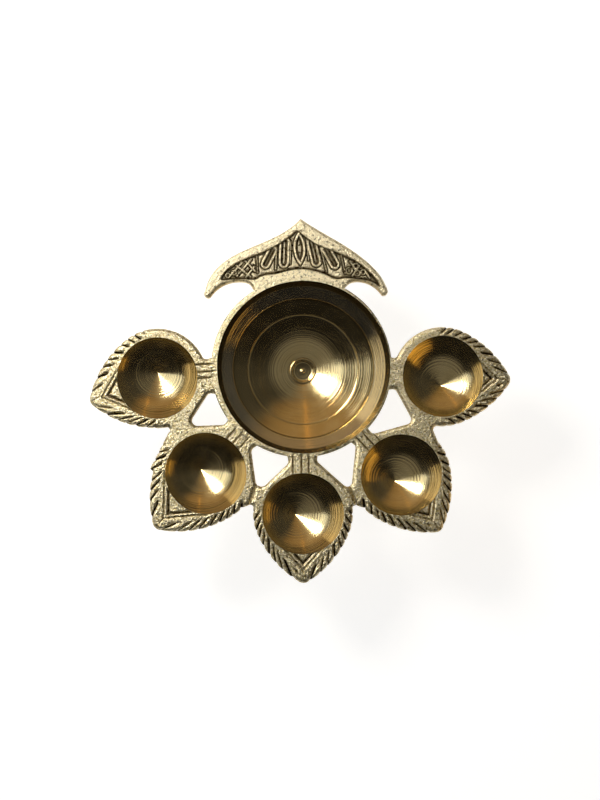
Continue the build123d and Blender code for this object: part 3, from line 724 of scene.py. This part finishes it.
# Thin ribs between the petals and the bars of the knots: two ends across and up, half width
RIBS = ((-3.8, 13.0, -4.0, 4.8, 0.3), (1.8, 13.6, 2.6, 6.2, 0.3), (-8.9, 10.8, -9.2, 2.8, 0.32),
        (6.8, 10.8, 9.0, 2.0, 0.32), (-15.9, 7.6, -15.6, 1.6, 0.3), (14.2, 8.0, 15.6, 1.4, 0.3),
        (-18.0, 6.4, -23.0, 0.4, 0.42), (-16.8, 3.8, -19.8, 0.0, 0.42), (-21.2, 5.2, -25.2, 0.6, 0.42),
        (-23.2, 4.2, -18.2, 0.2, 0.42), (-20.0, 5.8, -16.6, 2.2, 0.42), (17.4, 5.8, 19.6, 2.4, 0.4),
        (20.6, 4.2, 18.2, 0.6, 0.4), (22.6, 2.6, 24.4, -0.2, 0.4))
# Curls: middle across and up, radius
CURLS = ((-26.2, 0.6, 0.75), (-24.0, 1.6, 0.8), (17.0, 2.4, 1.1), (19.4, 4.0, 0.95), (19.9, 1.6, 1.0),
         (22.0, 1.9, 0.8))


def capsule(points, start, end, width):
    """Signed distance to a round-ended bar: the distance to the line between its ends, less its half
    width."""
    run = np.subtract(end, start)
    share = np.clip((points - np.array(start)) @ run / (run @ run), 0, 1)
    return np.linalg.norm(points - np.array(start) - share[..., None] * run, axis=-1) - width


edges = outlines["crest"]
open_edges = edges[~on_ring(edges)]
bearing = np.arctan2(edges[..., 1], edges[..., 0])
bearing = np.linspace(bearing.min() + 1e-5, bearing.max() - 1e-5, CREST_COLUMNS)
inner, outer, hits = reach(np.zeros(2), bearing, edges)
sound = hits > 1
inner, outer = (np.interp(bearing, bearing[sound], side[sound]) for side in (inner, outer))
ray = np.stack([np.cos(bearing), np.sin(bearing)], 1)
# Rows crowd towards both edges, where the rounding is
share = np.linspace(0, 1, CREST_ROWS)
share = 0.5 - 0.5 * np.cos(np.pi * share) * (1 - 0.35 * np.sin(np.pi * share) ** 2)
inner[[0, -1]] = outer[[0, -1]] = (inner[[0, -1]] + outer[[0, -1]]) / 2
plan = ray[:, None] * (inner[:, None] * (1 - share) + outer[:, None] * share)[..., None]
distance = edge_distance(plan, open_edges)
drawn = plan - (0, BOWL_RIM)

# The panel's outline is smoothed by a curve through its points, and inside is told by counting crossings
before, after, beyond = np.roll(PANEL, 1, 0), np.roll(PANEL, -1, 0), np.roll(PANEL, -2, 0)
step = np.linspace(0, 1, 5)[:-1, None, None]
curve = 0.5 * (2 * PANEL + (after - before) * step + (2 * before - 5 * PANEL + 4 * after - beyond) * step**2
               + (3 * PANEL - before - 3 * after + beyond) * step**3)
curve = curve.transpose(1, 0, 2).reshape(-1, 2)
panel_edges = np.stack([curve, np.roll(curve, -1, 0)], 1)
start, end = panel_edges[:, 0], panel_edges[:, 1]
crossing = (start[:, 1] > drawn[..., 1:]) != (end[:, 1] > drawn[..., 1:])
slope = (end[:, 0] - start[:, 0]) / np.where(end[:, 1] == start[:, 1], 1e-9, end[:, 1] - start[:, 1])
crossing &= drawn[..., :1] < start[:, 0] + slope * (drawn[..., 1:] - start[:, 1])
within = crossing.sum(2) % 2 == 1
depth_in = edge_distance(drawn, panel_edges) * np.where(within, 1, -1)

# Heights in the panel, as a share of its depth: the tallest of the petals, ribs, bars and curls at each point
middle = drawn - ALMOND
along = np.abs(middle @ np.array([-np.sin(ALMOND_LEAN), np.cos(ALMOND_LEAN)]))
across = np.abs(middle @ np.array([np.cos(ALMOND_LEAN), np.sin(ALMOND_LEAN)]))
long_half, wide_half = ALMOND_HALF
bow = (long_half**2 - wide_half**2) / (2 * wide_half)
almond = np.hypot(along, across + bow) - (bow + wide_half)
petal_forms = [almond] + [capsule(drawn, petal[:2], petal[2:4], petal[4]) for petal in PETALS]
bar_forms = [capsule(drawn, rib[:2], rib[2:4], rib[4]) for rib in RIBS]
bar_forms += [np.abs(np.linalg.norm(drawn - curl[:2], axis=2) - curl[2]) - CURL_HALF for curl in CURLS]
nearest_form = np.min(petal_forms + bar_forms, axis=0)
ditch = np.maximum(ease(depth_in, *PANEL_DITCH), ease(nearest_form, *FORM_DITCH))
tall = np.zeros(depth_in.shape)
for form in petal_forms:
    ridge = ease(form, *PETAL_EDGE) - ease(form, *PETAL_HOLLOW) * HOLLOW_SHARE
    tall = np.maximum(tall, ridge + ease(form, *PETAL_VEIN) * VEIN_SHARE)
for form in bar_forms:
    tall = np.maximum(tall, BAR_SHARE * ease(form, *BAR_EDGE))
tall = np.clip(tall, 0, 1) * ease(depth_in, *PANEL_MARGIN)
sunk = ease(depth_in, *PANEL_WALL)
relief = -sunk * (GROUND_DEPTH + (PANEL_DEPTH - GROUND_DEPTH) * ditch) * (1 - tall) - CREST_WEAR * tall
height = relief - rounding(distance, CREST_ROUND)
# The sunk ground is darkened a little, as tarnish, and much more in the ditches by the panel's edge and round
# the forms, as painted shade
painted_shade_and_tarnish = sunk * (1 - tall) * (CREST_DARK[0] + CREST_DARK[1] * ditch)

side = np.linspace(0, 1, 4)
outer_side = height[:, -1:] * (1 - side) + (-PLATE) * side
inner_side = height[:, :1] * side + (-PLATE) * (1 - side)
under = plan[:, ::-CREST_UNDER_STEP]
plan_rows = np.concatenate([plan, np.repeat(plan[:, -1:], 3, 1), under, np.repeat(plan[:, :1], 3, 1)], 1)
heights = np.concatenate([height, outer_side[:, 1:], np.full(under.shape[:2], -PLATE), inner_side[:, :-1]],
                         1)
shade_and_tarnish = np.zeros(heights.shape)
shade_and_tarnish[:, :CREST_ROWS] = painted_shade_and_tarnish
points = np.concatenate([plan_rows * MM + cast_centre, (heights + top)[..., None] * MM], -1)
crest = skin("crest_cast", points, [cast_brass], marks={"painted_shade_and_tarnish": shade_and_tarnish, "matt_and_painted_highlight": CREST_MATT_HIGHLIGHT},
             wrap=False)
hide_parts("crest")

# Floor, light and camera: a plain white floor in a dim room with a pale ceiling and a warm back wall. Soft
# lamps at the left stand for a window, and a small one there draws the white wedges; two gold cards stand
# for lit brass close by. The view is from straight above, a little from the front and the left.

FLOOR_REACH = 8
FLOOR_GLOW = 0.84
# Brightness of the room's parts, and where each begins and is full, as cosines from its middle or from upright
WALL_AZIMUTH = np.radians(100)
WALL_LEVEL = 0.255
WALL_SIDES = (0.5, 0.88)
WALL_RISE = (0.02, 0.26)
WALL_TINT = 8.0
CEILING_LEVEL = 0.16
CEILING_EDGE = (0.66, 0.8)
CEILING_MIDDLE = (0.985, 0.92)
ROOM_LEVEL = 0.012
ROOM_BACK_LEVEL = 0.035
ROOM_BACK = (-0.4, 0.3)
# Name, azimuth and elevation in degrees, distance, width and height in metres, power in watts, colour
LAMPS = (("window", 155, 44, 0.75, 0.56, 0.27, 0.64, "#EAF2FF"),
         ("low_wall", 165, 11, 0.9, 1.1, 0.28, 0.68, "#FFEDC4"),
         ("overhead", 138, 54.8, 0.388, 0.115, 0.115, 0.82, "#FFFCF4"),
         ("gold_card", 338.2, 25.8, 0.1196, 0.06, 0.022, 0.0036, "#FFC860"),
         ("gold_strip", 91.4, 34.7, 0.193, 0.004, 0.09, 0.0011, "#FFB648"))
VIEW_DISTANCE = 0.75
VIEW_SCALE = 0.3548 * MM
VIEW_ROWS = 800
VIEW_SENSOR = 24.0
VIEW_FRONT = np.radians(4.3)
VIEW_LEFT = np.radians(1)
VIEW_SPOT = (-0.2, -0.15)

floor_mesh = bpy.data.meshes.new("floor")
floor_corners = [(-FLOOR_REACH, -FLOOR_REACH, 0), (FLOOR_REACH, -FLOOR_REACH, 0),
                 (FLOOR_REACH, FLOOR_REACH, 0), (-FLOOR_REACH, FLOOR_REACH, 0)]
floor_mesh.from_pydata(floor_corners, [], [(0, 1, 2, 3)])
floor = bpy.data.objects.new("floor", floor_mesh)
bpy.context.scene.collection.objects.link(floor)
paper = bpy.data.materials.new("white_paper")
paper.use_nodes = True
tree = paper.node_tree
shader = tree.nodes["Principled BSDF"]
shader.inputs["Base Color"].default_value = linear("#B9B8B5")
shader.inputs["Roughness"].default_value = 0.9
rays = add(tree, "ShaderNodeLightPath")
seen = add(tree, "ShaderNodeMath", {0: rays.outputs["Is Camera Ray"], 1: rays.outputs["Is Glossy Ray"]},
           operation="MAXIMUM")
seen = add(tree, "ShaderNodeMath", {0: seen.outputs[0], 1: rays.outputs["Is Transmission Ray"]},
           operation="MAXIMUM")
glow = add(tree, "ShaderNodeMath", {0: seen.outputs[0], 1: FLOOR_GLOW}, operation="MULTIPLY")
shader.inputs["Emission Color"].default_value = (1, 1, 1, 1)
tree.links.new(glow.outputs[0], shader.inputs["Emission Strength"])
floor_mesh.materials.append(paper)

world = bpy.data.worlds.new("dim_room")
bpy.context.scene.world = world
world.use_nodes = True
tree = world.node_tree
around = add(tree, "ShaderNodeTexCoord").outputs["Generated"]
way = add(tree, "ShaderNodeSeparateXYZ", {"Vector": around})


def span(value, first, last, full):
    """Smooth climb from 0, where a value is first, to a full level, where it is last."""
    return add(tree, "ShaderNodeMapRange", {"Value": value, "From Min": first, "From Max": last, "To Min": 0.0,
                                            "To Max": full}, interpolation_type="SMOOTHSTEP").outputs[0]


def combine(first, second, operation):
    """Two values joined by one sum or product."""
    return add(tree, "ShaderNodeMath", {0: first, 1: second}, operation=operation).outputs[0]


wall_way = (np.cos(WALL_AZIMUTH), np.sin(WALL_AZIMUTH), 0)
facing = add(tree, "ShaderNodeVectorMath", {0: around, 1: wall_way}, operation="DOT_PRODUCT")
facing, rise = facing.outputs["Value"], way.outputs["Z"]
warm = combine(span(facing, *WALL_SIDES, WALL_LEVEL), span(rise, *WALL_RISE, 1.0), "MULTIPLY")
ceiling = combine(span(rise, *CEILING_EDGE, CEILING_LEVEL), span(rise, *CEILING_MIDDLE, 1.0), "MULTIPLY")
room = combine(span(way.outputs["Y"], *ROOM_BACK, ROOM_BACK_LEVEL), ROOM_LEVEL, "ADD")
level = combine(combine(warm, ceiling, "ADD"), room, "ADD")
shade = add(tree, "ShaderNodeMix", {0: combine(warm, WALL_TINT, "MULTIPLY"), 6: linear("#F6F4EE"),
                                    7: linear("#FFDAA8")}, data_type="RGBA")
tree.links.new(level, tree.nodes["Background"].inputs["Strength"])
tree.links.new(shade.outputs[2], tree.nodes["Background"].inputs["Color"])


def soft_lamp(name, azimuth, elevation, distance, width, tall, power, shade):
    """Soft box that faces the lamp from a compass angle and an elevation."""
    light = bpy.data.lights.new(name, "AREA")
    light.shape = "RECTANGLE"
    light.size, light.size_y, light.energy = width, tall, power
    light.color = linear(shade)[:3]
    made = bpy.data.objects.new(name, light)
    bpy.context.scene.collection.objects.link(made)
    azimuth, elevation = np.radians(azimuth), np.radians(elevation)
    level = np.cos(elevation)
    made.location = distance * Vector((np.cos(azimuth) * level, np.sin(azimuth) * level, np.sin(elevation)))
    made.rotation_euler = made.location.to_track_quat("Z", "Y").to_euler()
    made.visible_camera = False


for lamp in LAMPS:
    soft_lamp(*lamp)

lens = bpy.data.cameras.new("camera")
camera = bpy.data.objects.new("camera", lens)
bpy.context.scene.collection.objects.link(camera)
lens.sensor_fit = "VERTICAL"
lens.sensor_height = VIEW_SENSOR
lens.lens = lens.sensor_height * VIEW_DISTANCE / (VIEW_ROWS * VIEW_SCALE)
back = Vector((-np.tan(VIEW_LEFT), -np.tan(VIEW_FRONT), 1)).normalized()
right = Vector((0, 1, 0)).cross(back).normalized()
up = back.cross(right)
spot = Vector((VIEW_SPOT[0] * MM, VIEW_SPOT[1] * MM, top * MM)) + back * VIEW_DISTANCE
camera.matrix_world = Matrix.Translation(spot) @ Matrix((right, up, back)).transposed().to_4x4()
bpy.context.scene.camera = camera
bpy.context.scene.view_settings.view_transform = "Standard"
